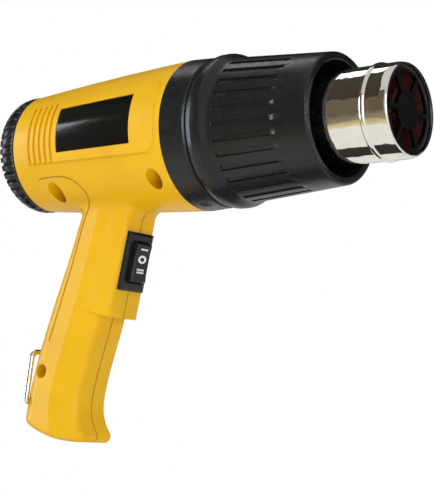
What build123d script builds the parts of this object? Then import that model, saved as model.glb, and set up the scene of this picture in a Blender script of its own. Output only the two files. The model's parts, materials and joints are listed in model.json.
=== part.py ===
from build123d import *
import os
from math import atan2, cos, degrees, radians, sin, sqrt, tan

# Pistol-shaped hot-air tool for embossing and shrinking. Lengths are in millimetres, angles in degrees.
# The origin is the centre of the flat rear end, on which the tool stands nozzle-up.
# +X runs along the barrel to the nozzle, +Z is up, the grip hangs towards -Z, the label is on the -Y side.
# Angles about the barrel axis are counted from the label side (-Y) and rise towards +Z.

os.makedirs("parts", exist_ok=True)

# Lengths along the barrel
cap_length = 13.9
housing_length = 105.4
collar_length = 14.5
sleeve_joint = 1.0
sleeve_length = 66.8
nozzle_reach = 120.0

seam_rear = cap_length
seam_front = cap_length + housing_length
collar_front = seam_front + collar_length
sleeve_rear = collar_front + sleeve_joint
sleeve_mouth = sleeve_rear + sleeve_length
nozzle_tip = seam_front + nozzle_reach

# Barrel housing, a slightly bulged cone in two halves that meet on the plane y = 0
housing_rear_radius = 31.9
housing_front_radius = 39.0
housing_bulge = 0.6
housing_wall = 2.6
neck_length = 11.3
neck_radius = 35.8
neck_wall = 2.4

# Clearances and the overrun of every cut
overrun = 1.0
fixed_clearance = 0.2
running_clearance = 0.05
moving_gap = 0.3

# Grip: rounded sections, from the barrel down to the heel
grip_drop = 157.0
grip_sweep = 110.0
grip_half_width = 16.0
grip_front_half_width = 11.6
grip_rear_corner = 9.0
grip_crease_corner = 4.0
grip_front_corner = 5.0
grip_wall = 2.6
heel_round = 3.4
# Each station: share of the drop, then back edge, front edge as shares of the sweep,
# then half width and front half width as shares of their own sizes.
grip_station_shares = (
    (0.120, 0.640, 0.390, 0.840, 1.06),
    (0.241, 0.690, 0.423, 0.860, 1.05),
    (0.355, 0.745, 0.459, 0.880, 1.03),
    (0.466, 0.803, 0.491, 0.905, 1.01),
    (0.557, 0.850, 0.518, 0.935, 1.00),
    (0.643, 0.892, 0.555, 0.960, 1.00),
    (0.746, 0.939, 0.604, 0.980, 1.00),
    (0.833, 0.970, 0.638, 0.995, 1.00),
    (0.895, 0.987, 0.649, 1.000, 1.04),
    (0.943, 0.998, 0.634, 1.000, 1.12),
    (0.975, 1.003, 0.608, 1.000, 1.18),
    (1.040, 1.008, 0.592, 1.000, 1.18),
)
grip_back_flat_share = 0.90
grip_crease_share = 0.57
# The heel's underside is an arc: shares of sweep and drop at its back, middle and front.
heel_arc_shares = ((1.010, 0.925), (0.830, 0.983), (0.575, 1.003))

# Block round the switch, proud of the grip below it
block_half_width = 12.8
block_front_corner = 4.4
block_tilt = 12.2
block_top_setback = 41.7
block_top_drop = 47.9
block_step_drop = 92.6
block_step_setback = 52.2
block_step_tilt = 15.0
block_overlap = 3.0
block_sink = 0.5
block_stations = 6
web_radius = 6.0

# Raised pad on each side, with the label recess and five grip grooves
pad_height = 1.4
pad_bevel = 1.2
pad_top_corner = 4.0
pad_low_corner = 7.0
pad_rear_margin = 10.4
pad_front_margin = 4.0
pad_low_angle = -22.0
pad_high_angle = 36.0
label_length = 52.3
label_front_margin = 19.2
label_low_angle = -13.0
label_high_angle = 26.0
label_recess = 0.8
label_thickness = 0.4
groove_count = 5
groove_pitch = 4.1
groove_width = 1.9
groove_depth = 1.2
groove_rear_margin = 12.5
groove_low_angle = -24.5
groove_high_angle = 33.0

# Screws of the two halves: place of each along x and z, and its own deep pocket
screw_shank_radius = 1.75
screw_length = 16.0
screw_head_radius = 3.4
screw_head_height = 2.4
screw_hole_clearance = 0.2
boss_wall = 2.3
barrel_pocket_radius = 4.6
barrel_front_pocket_floor = 12.0
barrel_rear_pocket_floor = 6.0
barrel_screw_drop = 26.0
barrel_screw_front_margin = 10.5
barrel_screw_rear_margin = 23.0
grip_pocket_radius = 3.8
grip_pocket_floor = 3.6
grip_screw_sweep = 94.7
grip_screw_drop = 120.5

# Every screw's head: its rim's chamfer and its cross slot, as shares of the head's height and radius
head_chamfer_share = 0.33
slot_depth_share = 0.5
slot_width_share = 0.2
slot_length_share = 1.3

# Rear cap with its teeth and inlet grille
cap_teeth = 40
cap_gap_top = 2.2
cap_gap_floor = 1.2
cap_gap_depth = 1.5
cap_band = 2.6
cap_bulge_share = 0.25
cap_shoulder_radius = 31.6
cap_mid_radius = 30.6
cap_rear_radius = 27.6
cap_wall = 2.6
cap_spigot = 4.2
grille_radius = 23.0
grille_recess = 1.2
grille_thickness = 2.4
grille_hub_radius = 8.0
grille_slots = 20
grille_slot_width = 2.5
grille_slot_inner = 10.5
grille_slot_outer = 21.5

# Front collar
collar_rear_radius = 39.0
collar_front_radius = 38.3
collar_edge = 0.8
collar_web = 3.0
collar_spigot_radius = 32.6
collar_spigot_wall = 2.6
collar_spigot_length = 16.0
collar_shoulder_radius = 36.8
collar_screw_radius = 1.5
collar_screw_head_radius = 2.6
collar_screw_head_height = 1.6
collar_screw_sink = 0.5
collar_screw_length = 5.2
collar_screw_setback = 7.0
collar_screw_spread = 12.3

# Guard sleeve, pushed on to the collar's spigot
sleeve_lip_radius = 39.2
sleeve_lip_length = 8.2
sleeve_barrel_radius = 36.6
sleeve_mouth_radius = 32.6
sleeve_fillet = 5.5
sleeve_bore_clearance = 0.15
sleeve_seat_length = 17.0
sleeve_mouth_bore = 28.5
sleeve_rim = 1.2
sleeve_round_share = 0.33
flute_count = 30
flute_width = 2.8
flute_depth = 0.9
flute_rear_margin = 14.6
flute_length = 35.0
flute_ramp = 1.4
flute_ramp_rise = 0.2

# Steel nozzle tube with a rolled bead, and its flange
nozzle_radius = 23.1
nozzle_wall = 0.9
nozzle_tail = 4.2
nozzle_lip = 4.6
nozzle_lip_radius = 22.0
lip_knee_share = 0.3
bead_setback = 13.0
bead_width = 3.0
bead_height = 0.9
flange_radius = 30.5
flange_thickness = 1.2
flange_screw_circle = 27.0
flange_screw_count = 3
flange_screw_radius = 1.4
flange_screw_head_radius = 2.5
flange_screw_head_height = 1.8

# Nozzle front plate
plate_thickness = 1.6
plate_inset = 1.6
plate_window_radius = 18.2
plate_hub_radius = 9.4
plate_spokes = 6
plate_spoke_width = 2.4

# Heater
mica_wall = 0.7
mica_front_setback = 5.5
former_blades = 6
former_thickness = 1.2
former_front_setback = 12.0
former_clearance = 0.5
coil_wire_radius = 0.75
coil_wire_sides = 6
coil_turns = 12
coil_pitch = 6.4
coil_inset = 2.4
base_thickness = 4.0
base_holes = 6
base_hole_radius = 4.2
base_hole_circle = 13.0
cutoff_radius = 2.2
cutoff_length = 9.0

# Motor and fan
motor_radius = 17.9
motor_length = 46.0
motor_rear = 46.0
motor_wall = 1.1
motor_boss_radius = 6.5
motor_boss_length = 3.0
motor_cap_length = 6.0
shaft_radius = 1.6
shaft_rear = 17.0
shaft_tail = 4.0
armature_radius = 11.6
armature_length = 24.0
armature_slots = 5
armature_slot_width = 2.4
armature_slot_depth = 6.0
commutator_radius = 4.5
commutator_length = 7.0
magnet_thickness = 3.9
magnet_arc = 130.0
magnet_length = 30.0
fan_radius = 25.5
fan_rear = 20.0
fan_width = 10.5
fan_plate = 1.4
fan_hub_radius = 5.0
fan_blades = 9
fan_blade_thickness = 1.4
fan_blade_inner = 9.0
fan_blade_sweep = 35.0
fan_blade_bend_share = 0.33

# Air duct, which holds the motor on ribs
duct_radius = 21.6
duct_wall = 1.6
duct_flare_radius = 29.4
duct_flare_rear = 43.0
duct_flare_length = 9.0
duct_ribs = 6
duct_rib_width = 2.0
duct_overlap = 5.0

# Rectifier board in front of the motor
board_radius = 17.0
board_thickness = 1.6
board_standoff = 3.0
board_diodes = 4
board_posts = 2
diode_length = 6.0
diode_radius = 1.5
diode_spread = 9.0

# Rocker switch
switch_drop = 63.1
bezel_length = 31.0
bezel_width = 19.8
bezel_height = 1.3
bezel_crown = 0.9
bezel_crown_taper = 60.0
bezel_opening_length = 22.6
bezel_opening_width = 12.0
switch_body_length = 28.2
switch_body_width = 17.0
switch_body_depth = 19.0
switch_pocket_depth = 6.4
terminal_width = 6.3
terminal_thickness = 0.8
terminal_length = 8.0
terminal_spread = 8.5
rocker_rise = 5.5
rocker_dip = 4.9
rocker_edge = 0.4
rocker_under = 3.0
rocker_pin_radius = 1.2
rocker_pin_length = 1.3

# Hanging bail
bail_wire_radius = 1.5
bail_pivot_sweep = 104.9
bail_pivot_drop = 136.5
bail_height = 26.6
bail_lean = 1.6
bail_leg_spread = 15.0
bail_head_spread = 12.0
bail_corner = 4.5
bail_bend = 2.2
bail_pin_end = 8.0
bail_boss_radius = 4.0
scoop_radius = 4.3

# Cord gland and clamp in the heel
gland_sweep = 93.0
gland_radius = 5.6
gland_flange_radius = 6.9
gland_flange_height = 1.2
gland_edge = 0.4
gland_length = 9.0
gland_bore_radius = 3.6
clamp_drop = 137.0
clamp_sweep = 89.4
clamp_length = 22.0
clamp_width = 8.0
clamp_height = 4.0
clamp_saddle_radius = 3.4
clamp_screw_spread = 7.6
clamp_screw_radius = 1.3
clamp_screw_head_radius = 2.4
clamp_screw_head_height = 1.6
clamp_screw_length = 9.0
clamp_post_radius = 3.0

# A length that reaches past the part from any place in it
big = nozzle_tip

# Sizes that follow from the ones above
heater_rear = collar_front - collar_web - flange_thickness - nozzle_tail + duct_overlap + fixed_clearance
mica_bore = nozzle_radius - nozzle_wall - fixed_clearance - mica_wall
coil_radius = mica_bore - former_clearance - coil_inset
armature_middle = motor_rear + motor_wall + motor_length / 2 - motor_cap_length
rocker_radius = bezel_opening_length / 2 - moving_gap
rocker_half_width = bezel_opening_width / 2 - moving_gap
boss_radius = screw_shank_radius + screw_hole_clearance + boss_wall
bail_pivot = (seam_front - bail_pivot_sweep, -bail_pivot_drop)
scoop_floor = bail_leg_spread - bail_bend - moving_gap
clamp_x = seam_front - clamp_sweep
bezel_face = bezel_height + bezel_crown


def revolved(points):
    """Solid of revolution about the barrel axis from an outline of (x, radius) points."""
    return revolve(Plane.XZ * make_face(Polyline(*points, close=True)), axis=Axis.X)


def ring(x0, x1, outer, inner=0):
    """Plain ring or disc about the barrel axis."""
    return revolved([(x0, inner), (x1, inner), (x1, outer), (x0, outer)])


def sector(x0, x1, radius, low, high):
    """Slice of a cylinder about the barrel axis between two angles."""
    outline = Polyline((x0, 0), (x1, 0), (x1, -radius), (x0, -radius), close=True)
    slice_ = revolve(make_face(outline), axis=Axis((0, 0, 0), (-1, 0, 0)), revolution_arc=high - low)
    return Rot(X=-low) * slice_


def barrel(inset=0):
    """Bulged cone of the housing, drawn in by the inset."""
    rear = housing_rear_radius - inset
    front = housing_front_radius - inset
    middle = ((seam_rear + seam_front) / 2, (rear + front) / 2 + housing_bulge)
    top = ThreePointArc((seam_rear, rear), middle, (seam_front, front))
    sides = Polyline((seam_front, front), (seam_front, 0), (seam_rear, 0), (seam_rear, rear))
    return revolve(Plane.XZ * make_face([*top.edges(), *sides.edges()]), axis=Axis.X)


def across(radius, y0, y1):
    """Round bar along y at the origin's x and z."""
    return Pos(Y=(y0 + y1) / 2) * Rot(X=90) * Cylinder(radius, abs(y1 - y0))


def outline_x(share):
    """Place along x of a share of the grip's sweep."""
    return seam_front - share * grip_sweep


def grip_section(station, inset=0):
    """Six-cornered rounded section of the grip at one station."""
    drop, back, front, width, nose = station
    x_back = outline_x(back) + inset
    x_front = outline_x(front) - inset
    half = width * grip_half_width - inset
    half_front = nose * grip_front_half_width - inset
    x_crease = x_back + (x_front - x_back) * grip_crease_share
    corners = [
        (x_back, -half * grip_back_flat_share),
        (x_crease, -half),
        (x_front, -half_front),
        (x_front, half_front),
        (x_crease, half),
        (x_back, half * grip_back_flat_share),
    ]
    rear = grip_rear_corner - inset
    nose_corner = grip_front_corner - inset
    radii = [rear, grip_crease_corner, nose_corner, nose_corner, grip_crease_corner, rear]
    return Pos(Z=-drop * grip_drop) * make_face(FilletPolyline(*corners, radius=radii, close=True))


def grip(inset=0):
    """Grip from inside the barrel to below the heel, cut to the heel's arc."""
    body = loft([grip_section(station, inset) for station in grip_station_shares])
    back, middle, front = [(outline_x(x), -z * grip_drop + inset) for x, z in heel_arc_shares]
    arc = ThreePointArc(back, middle, front)
    lid = Polyline(front, (front[0] + grip_sweep, front[1]), (front[0] + grip_sweep, 0), (back[0], 0), back)
    keeper = Plane.XZ * make_face([*arc.edges(), *lid.edges()])
    return body & extrude(keeper, grip_half_width * 2, both=True)


def block_front_x(drop):
    """Front face of the switch block at a drop below the barrel axis."""
    return seam_front - block_top_setback - (drop - block_top_drop) * tan(radians(block_tilt))


def switch_block(inset=0):
    """Block round the switch, from the barrel to the step."""
    sections = []
    for drop, back, front, width, nose in grip_station_shares[:block_stations]:
        crease = outline_x(back + (front - back) * grip_crease_share) - block_overlap
        x_front = block_front_x(drop * grip_drop) - inset
        rear_half = width * grip_half_width - block_sink - inset
        half = block_half_width - inset
        corners = [(crease, -rear_half), (x_front, -half), (x_front, half), (crease, rear_half)]
        corner = block_front_corner - inset
        radii = [0, max(corner, fixed_clearance), max(corner, fixed_clearance), 0]
        face = make_face(FilletPolyline(*corners, radius=radii, close=True))
        sections.append(Pos(Z=-drop * grip_drop) * face)
    body = loft(sections, ruled=True)
    step_point = (seam_front - block_step_setback, 0, -block_step_drop + inset)
    upward = (sin(radians(block_step_tilt)), 0, cos(radians(block_step_tilt)))
    step = Plane(step_point, x_dir=(0, 1, 0), z_dir=upward)
    return split(body, step, keep=Keep.TOP)


def junction_edges(body):
    """Edges where grip and switch block run into the barrel."""
    lowest = -housing_front_radius - web_radius
    highest = -grip_station_shares[0][0] * grip_drop
    edges = []
    for edge in body.edges():
        box = edge.bounding_box()
        inside = seam_rear < box.min.X and box.max.X < seam_front
        if inside and lowest < box.min.Z and box.max.Z < highest:
            edges.append(edge)
    return edges


def side_pad():
    """Raised pad on the label side, with rounded front corners and bevelled edges."""
    x0 = seam_rear + pad_rear_margin
    x1 = seam_front - pad_front_margin
    window = sector(x0, x1, big, pad_low_angle, pad_high_angle)
    skin = ((barrel(-pad_height) - barrel(housing_wall / 2)) & window).solids()[0]
    thickness = pad_height + housing_wall
    corners = skin.edges().filter_by(lambda e: e.length < thickness and e.center().X > x1 - thickness)
    low, high = corners.sort_by(Axis.Z)
    skin = skin.fillet(pad_low_corner, [low])
    corners = skin.edges().filter_by(lambda e: e.length < thickness and e.center().X > x1 - thickness)
    skin = skin.fillet(pad_top_corner, [corners.sort_by(Axis.Z)[-1]])
    top = skin.faces().filter_by(lambda f: f.area > label_length * label_length / 2).sort_by(Axis.Y)[0]
    return skin.chamfer(pad_bevel, None, top.edges())


def label_window(skin_depth, margin=0):
    """Curved slab of the label, from the pad's surface down to a depth."""
    x1 = seam_front - label_front_margin - margin
    x0 = seam_front - label_front_margin - label_length + margin
    turn = degrees(margin / housing_front_radius)
    window = sector(x0, x1, big, label_low_angle + turn, label_high_angle - turn)
    return (barrel(-pad_height - overrun) - barrel(skin_depth - pad_height)) & window


def side_grooves():
    """Five short grooves round the barrel behind the label."""
    base = barrel(-pad_height - overrun) - barrel(groove_depth - pad_height)
    slots = []
    for i in range(groove_count):
        x0 = seam_rear + groove_rear_margin + i * groove_pitch
        slots.append(base & sector(x0, x0 + groove_width, big, groove_low_angle, groove_high_angle))
    return slots


def screw_places():
    """Place, pocket radius and pocket floor of each screw of the two halves."""
    front = seam_front - barrel_screw_front_margin
    rear = seam_rear + barrel_screw_rear_margin
    low = seam_front - grip_screw_sweep
    return [
        (front, -barrel_screw_drop, barrel_pocket_radius, barrel_front_pocket_floor),
        (rear, -barrel_screw_drop, barrel_pocket_radius, barrel_rear_pocket_floor),
        (low, -grip_screw_drop, grip_pocket_radius, grip_pocket_floor),
    ]


switch_plane = Plane(
    (block_front_x(switch_drop), 0, -switch_drop),
    x_dir=(0, 1, 0),
    z_dir=(cos(radians(block_tilt)), 0, -sin(radians(block_tilt))),
)


def heel_circle():
    """Centre and radius of the heel's arc."""
    (ax, az), (bx, bz), (cx, cz) = [(outline_x(x), -z * grip_drop) for x, z in heel_arc_shares]
    d = 2 * (ax * (bz - cz) + bx * (cz - az) + cx * (az - bz))
    a2, b2, c2 = ax ** 2 + az ** 2, bx ** 2 + bz ** 2, cx ** 2 + cz ** 2
    x = (a2 * (bz - cz) + b2 * (cz - az) + c2 * (az - bz)) / d
    z = (a2 * (cx - bx) + b2 * (ax - cx) + c2 * (bx - ax)) / d
    return x, z, sqrt((ax - x) ** 2 + (az - z) ** 2)


def gland_seat():
    """Plane of the cord gland, tangent to the heel, z pointing out."""
    x, z, radius = heel_circle()
    turn = (seam_front - gland_sweep - x) / radius
    out = Vector(turn, 0, -sqrt(1 - turn ** 2))
    return Plane(Vector(x, 0, z) + out * radius, x_dir=(0, 1, 0), z_dir=out)


gland_plane = gland_seat()


def housing():
    """Both halves in one piece: skin, neck, bosses, pockets and openings."""
    body = barrel() + grip() + switch_block()
    body = body.solids()[0].fillet(web_radius, junction_edges(body))
    lowest = body.faces().sort_by(Axis.Z)[0]
    body = body.fillet(heel_round, lowest.edges())
    pad = side_pad()
    body = Part() + body + pad + mirror(pad, about=Plane.XZ)
    grooves = side_grooves()
    body = body - grooves - [mirror(slot, about=Plane.XZ) for slot in grooves]
    body = body - label_window(label_recess)
    solid_form = body

    bore = neck_radius - neck_wall
    hollow = barrel(housing_wall) + grip(grip_wall) + switch_block(grip_wall)
    hollow = hollow + ring(seam_rear - overrun, seam_rear + overrun, housing_rear_radius - housing_wall)
    neck_root = seam_front - neck_wall
    neck = ring(neck_root, seam_front, housing_front_radius - housing_wall / 2)
    neck = neck + ring(seam_front, seam_front + neck_length, neck_radius)
    body = body - hollow + neck - ring(neck_root - overrun, seam_front + neck_length + overrun, bore)

    bosses = []
    cuts = []
    for x, z, pocket, floor in screw_places():
        place = Pos(x, 0, z)
        bosses.append(place * across(boss_radius, -big, big))
        bosses.append(place * across(pocket + boss_wall / 2, -big, screw_head_height - floor))
        cuts.append(place * across(pocket, -big, -floor))
        reach = screw_length - floor + overrun
        cuts.append(place * across(screw_shank_radius + screw_hole_clearance, -big, reach))
    place = Pos(bail_pivot[0], 0, bail_pivot[1])
    bosses.append(place * across(bail_boss_radius, -big, big))
    for side in (-1, 1):
        cuts.append(place * across(scoop_radius, side * scoop_floor, side * big))
        pin_bottom = bail_pin_end - moving_gap
        cuts.append(place * across(bail_wire_radius + running_clearance, side * pin_bottom, side * big))
        post = Pos(clamp_x + side * clamp_screw_spread, 0, -clamp_drop)
        bosses.append(post * across(clamp_post_radius, clamp_height / 2, big))
        pilot = clamp_screw_length - clamp_height / 2 + overrun
        cuts.append(post * across(clamp_screw_radius + running_clearance, 0, pilot))
    bosses = [solid_form & boss for boss in bosses]
    body = body + bosses - cuts

    opening_width = switch_body_width + 2 * fixed_clearance
    opening_length = switch_body_length + 2 * fixed_clearance
    body = body - switch_plane * Box(opening_width, opening_length, 2 * switch_body_depth)
    body = body - gland_plane * Cylinder(gland_radius + fixed_clearance / 2, 2 * gland_length)
    for angle in (-collar_screw_spread, collar_screw_spread):
        hole = collar_screw_axis(angle) * Cylinder(collar_screw_radius + running_clearance, 2 * neck_radius)
        body = body - hole
    return body


def collar_screw_axis(angle):
    """Place of a collar screw: z runs out of the collar, angle is counted from straight down."""
    out = Vector(0, sin(radians(angle)), -cos(radians(angle)))
    surface = collar_rear_radius - collar_screw_sink
    at = out * surface + Vector(collar_front - collar_screw_setback, 0, 0)
    return Plane(at, x_dir=(1, 0, 0), z_dir=out)


def halves(body):
    """Right (label) and left half, cut on the plane y = 0."""
    right = split(body, Plane.XZ, keep=Keep.TOP)
    left = split(body, Plane.XZ, keep=Keep.BOTTOM)
    if right.center().Y > 0:
        right, left = left, right
    return right, left


def rating_label():
    """Bare plate in the label recess."""
    seat = barrel(label_recess - pad_height)
    top = barrel(label_recess - label_thickness - pad_height)
    return (top - seat) & label_window(2 * label_recess, fixed_clearance)


def screw(head_radius, head_height, shank_radius, length):
    """Pan-head screw along +Z, its cross-slotted head above z = 0."""
    head = Pos(Z=head_height / 2) * Cylinder(head_radius, head_height)
    head = chamfer(head.faces().sort_by(Axis.Z)[-1].edges(), head_height * head_chamfer_share)
    shank = Pos(Z=-length / 2) * Cylinder(shank_radius, length)
    slot_length = head_radius * slot_length_share
    slot_width = head_radius * slot_width_share
    slot = Box(slot_length, slot_width, 2 * head_height * slot_depth_share)
    cross = [Pos(Z=head_height) * Rot(Z=turn) * slot for turn in (0, 90)]
    return head + shank - cross


def housing_screws():
    """Screws that hold the two halves, in their pockets on the label side."""
    part = screw(screw_head_radius, screw_head_height, screw_shank_radius, screw_length)
    return [Pos(x, -floor, z) * Rot(X=90) * part for x, z, pocket, floor in screw_places()]


def rear_cap():
    """Ribbed cap with the air inlet grille, standing face and spigot."""
    shoulder = cap_length - cap_band
    bulge = (cap_length * cap_bulge_share, cap_mid_radius)
    arc = ThreePointArc((0, cap_rear_radius), bulge, (shoulder, cap_shoulder_radius))
    rest = Polyline(
        (shoulder, cap_shoulder_radius),
        (seam_rear, housing_rear_radius),
        (seam_rear, 0),
        (0, 0),
        (0, cap_rear_radius),
    )
    body = revolve(Plane.XZ * make_face([*arc.edges(), *rest.edges()]), axis=Axis.X)
    bore = cap_rear_radius - cap_wall
    body = body - ring(grille_recess + grille_thickness, seam_rear + overrun, bore)
    spigot_radius = housing_rear_radius - housing_wall - fixed_clearance
    body = body + ring(seam_rear - overrun, seam_rear + cap_spigot, spigot_radius, spigot_radius - cap_wall)
    body = body - ring(-overrun, grille_recess, grille_radius, grille_hub_radius)
    slot_middle = (grille_slot_inner + grille_slot_outer) / 2
    slot = SlotOverall(grille_slot_outer - grille_slot_inner, grille_slot_width)
    slot = Pos(Z=slot_middle) * Rot(Y=90) * extrude(slot, big / 2, both=True)
    slot = slot & ring(-overrun, seam_rear, big)
    gap = cap_gap()
    cuts = [Rot(X=360 * i / cap_teeth) * gap for i in range(cap_teeth)]
    cuts = cuts + [Rot(X=360 * i / grille_slots) * slot for i in range(grille_slots)]
    return body - cuts


def cap_gap():
    """Cutter for one gap between the cap's teeth, narrower at its floor."""
    rise = cap_shoulder_radius - cap_rear_radius
    run = cap_length - cap_band
    slope = degrees(atan2(rise, run))
    length = 2 * run / cos(radians(slope))
    spread = (cap_gap_top - cap_gap_floor) / 2 / cap_gap_depth
    top_half = cap_gap_top / 2 + overrun * spread
    outline = Polyline(
        (-cap_gap_floor / 2, -cap_gap_depth),
        (cap_gap_floor / 2, -cap_gap_depth),
        (top_half, overrun),
        (-top_half, overrun),
        close=True,
    )
    bar = extrude(Plane.YZ * make_face(outline), -length)
    shoulder = Pos(run, 0, cap_shoulder_radius)
    return shoulder * Rot(Y=-slope) * bar


def front_collar():
    """Collar over the housing's neck, with the web and the spigot that carries the sleeve."""
    x0 = seam_front
    x1 = collar_front
    web_rear = x1 - collar_web
    bore = nozzle_radius + fixed_clearance
    spigot_bore = collar_spigot_radius - collar_spigot_wall
    shoulder = sleeve_rear
    spigot_end = x1 + collar_spigot_length
    inside = neck_radius + fixed_clearance
    body = revolved([
        (x0, inside),
        (x0, collar_rear_radius),
        (x1 - collar_edge, collar_front_radius),
        (x1, collar_front_radius - collar_edge),
        (x1, collar_shoulder_radius),
        (shoulder, collar_shoulder_radius),
        (shoulder, collar_spigot_radius),
        (spigot_end, collar_spigot_radius),
        (spigot_end, spigot_bore),
        (x1, spigot_bore),
        (x1, bore),
        (web_rear, bore),
        (web_rear, inside),
    ])
    cuts = []
    for angle in (-collar_screw_spread, collar_screw_spread):
        axis = collar_screw_axis(angle)
        cuts.append(axis * Cylinder(collar_screw_radius + running_clearance, 2 * collar_screw_length))
        recess = Cylinder(collar_screw_head_radius + fixed_clearance, 2 * collar_screw_head_height)
        cuts.append(axis * recess)
    for i in range(flange_screw_count):
        hole = Cylinder(flange_screw_radius + running_clearance, 4 * collar_web)
        cuts.append(flange_screw_place(i) * hole)
    return body - cuts


def collar_screws():
    """Two small screws from below, through the collar into the neck."""
    part = screw(collar_screw_head_radius, collar_screw_head_height, collar_screw_radius, collar_screw_length)
    sunk = Pos(Z=-collar_screw_head_height) * part
    return [collar_screw_axis(angle) * sunk for angle in (-collar_screw_spread, collar_screw_spread)]


def flange_screw_place(i):
    """Place of a flange screw: z runs back out of the flange."""
    at = Vector(collar_front - collar_web - flange_thickness, 0, flange_screw_circle)
    turn = 360 * i / flange_screw_count
    at = at.rotate(Axis.X, turn)
    return Plane(at, x_dir=(0, 1, 0), z_dir=(-1, 0, 0))


def flange_screws():
    """Screws that hold the nozzle's flange to the collar's web."""
    length = flange_thickness + collar_web
    part = screw(flange_screw_head_radius, flange_screw_head_height, flange_screw_radius, length)
    return [flange_screw_place(i) * part for i in range(flange_screw_count)]


def guard_sleeve():
    """Tapered guard sleeve with a rounded lip and shallow flutes."""
    x0 = sleeve_rear
    x1 = sleeve_mouth
    lip_end = x0 + sleeve_lip_length
    bore = collar_spigot_radius + sleeve_bore_clearance
    foot = lip_end + sleeve_fillet
    slope = (sleeve_barrel_radius - sleeve_mouth_radius) / (x1 - foot)
    lip_low = sleeve_lip_radius - sleeve_rim
    part_rim = sleeve_rim * sleeve_round_share
    lip_round = (x0 + part_rim, sleeve_lip_radius - part_rim)
    lip = ThreePointArc((x0, lip_low), lip_round, (x0 + sleeve_rim, sleeve_lip_radius))
    crown_end = (lip_end - sleeve_rim, sleeve_lip_radius)
    crown = Line((x0 + sleeve_rim, sleeve_lip_radius), crown_end)
    blend = Spline(crown_end, (foot, sleeve_barrel_radius), tangents=((1, 0), (1, -slope)))
    rest = Polyline(
        (foot, sleeve_barrel_radius),
        (x1 - sleeve_rim, sleeve_mouth_radius),
        (x1, sleeve_mouth_radius - sleeve_rim),
        (x1, sleeve_mouth_bore + sleeve_rim / 2),
        (x1 - sleeve_rim, sleeve_mouth_bore),
        (x0 + sleeve_seat_length, bore),
        (x0, bore),
        (x0, lip_low),
    )
    outline = [*lip.edges(), *crown.edges(), *blend.edges(), *rest.edges()]
    body = revolve(Plane.XZ * make_face(outline), axis=Axis.X)
    start = x0 + flute_rear_margin
    end = start + flute_length
    top_start = sleeve_barrel_radius - (start - foot) * slope
    top_end = sleeve_barrel_radius - (end - foot) * slope
    side = Polyline(
        (start, top_start + overrun),
        (start, top_start - flute_depth),
        (end - flute_ramp, top_end - flute_depth),
        (end, top_end + flute_ramp_rise),
        (end, top_end + overrun),
        close=True,
    )
    flute = extrude(Plane.XZ * make_face(side), flute_width / 2, both=True)
    return body - [Rot(X=360 * i / flute_count) * flute for i in range(flute_count)]


def nozzle_tube():
    """Thin steel tube with flange, rolled bead and turned-in lip."""
    web_rear = collar_front - collar_web
    flange_rear = web_rear - flange_thickness
    tail = flange_rear - nozzle_tail
    bore = nozzle_radius - nozzle_wall
    bead_end = nozzle_tip - bead_setback + bead_width / 2
    bead_start = bead_end - bead_width
    bead_middle = (bead_start + bead_end) / 2
    bead_top = (bead_middle, nozzle_radius + bead_height)
    bead_under = (bead_middle, bore + bead_height)
    shoulder = nozzle_tip - nozzle_lip
    turn_in = nozzle_radius - nozzle_lip_radius
    knee = (nozzle_tip - nozzle_lip * lip_knee_share, nozzle_radius - turn_in * lip_knee_share / 2)
    lip_bore = nozzle_lip_radius - nozzle_wall
    pieces = [
        Polyline((tail, bore), (tail, nozzle_radius), (flange_rear, nozzle_radius)),
        Line((flange_rear, nozzle_radius), (flange_rear, flange_radius)),
        Polyline((flange_rear, flange_radius), (web_rear, flange_radius), (web_rear, nozzle_radius)),
        Line((web_rear, nozzle_radius), (bead_start, nozzle_radius)),
        ThreePointArc((bead_start, nozzle_radius), bead_top, (bead_end, nozzle_radius)),
        Line((bead_end, nozzle_radius), (shoulder, nozzle_radius)),
        ThreePointArc((shoulder, nozzle_radius), knee, (nozzle_tip, nozzle_lip_radius)),
        Polyline((nozzle_tip, nozzle_lip_radius), (nozzle_tip, lip_bore), (shoulder, bore), (bead_end, bore)),
        ThreePointArc((bead_end, bore), bead_under, (bead_start, bore)),
        Line((bead_start, bore), (tail, bore)),
    ]
    edges = [edge for piece in pieces for edge in piece.edges()]
    body = revolve(Plane.XZ * make_face(edges), axis=Axis.X)
    hole = Cylinder(flange_screw_radius + running_clearance, 4 * flange_thickness)
    return body - [flange_screw_place(i) * hole for i in range(flange_screw_count)]


def nozzle_front_plate():
    """Front guard plate with six windows round a solid hub."""
    front = nozzle_tip - plate_inset
    rear = front - plate_thickness
    rim = nozzle_lip_radius - nozzle_wall - fixed_clearance / 2
    body = ring(rear, front, rim)
    window = ring(rear - overrun, front + overrun, plate_window_radius, plate_hub_radius)
    for i in range(plate_spokes):
        middle = Pos((rear + front) / 2, plate_window_radius / 2, 0)
        spoke = middle * Box(4 * plate_thickness, plate_window_radius, plate_spoke_width)
        window = window - Rot(X=360 * i / plate_spokes) * spoke
    return body - window


def mica_tube():
    """Insulating tube between the heater and the steel tube."""
    outside = nozzle_radius - nozzle_wall - fixed_clearance
    return ring(heater_rear, nozzle_tip - mica_front_setback, outside, outside - mica_wall)


def heater_base():
    """Ceramic disc that carries the mica former, with air holes."""
    body = ring(heater_rear, heater_rear + base_thickness, mica_bore - fixed_clearance)
    cuts = []
    for i in range(base_holes):
        hole = Cylinder(base_hole_radius, 4 * base_thickness)
        place = Pos(heater_rear, 0, base_hole_circle) * Rot(Y=90)
        cuts.append(Rot(X=360 * i / base_holes) * Rot(X=180 / base_holes) * place * hole)
    return body - cuts


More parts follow.
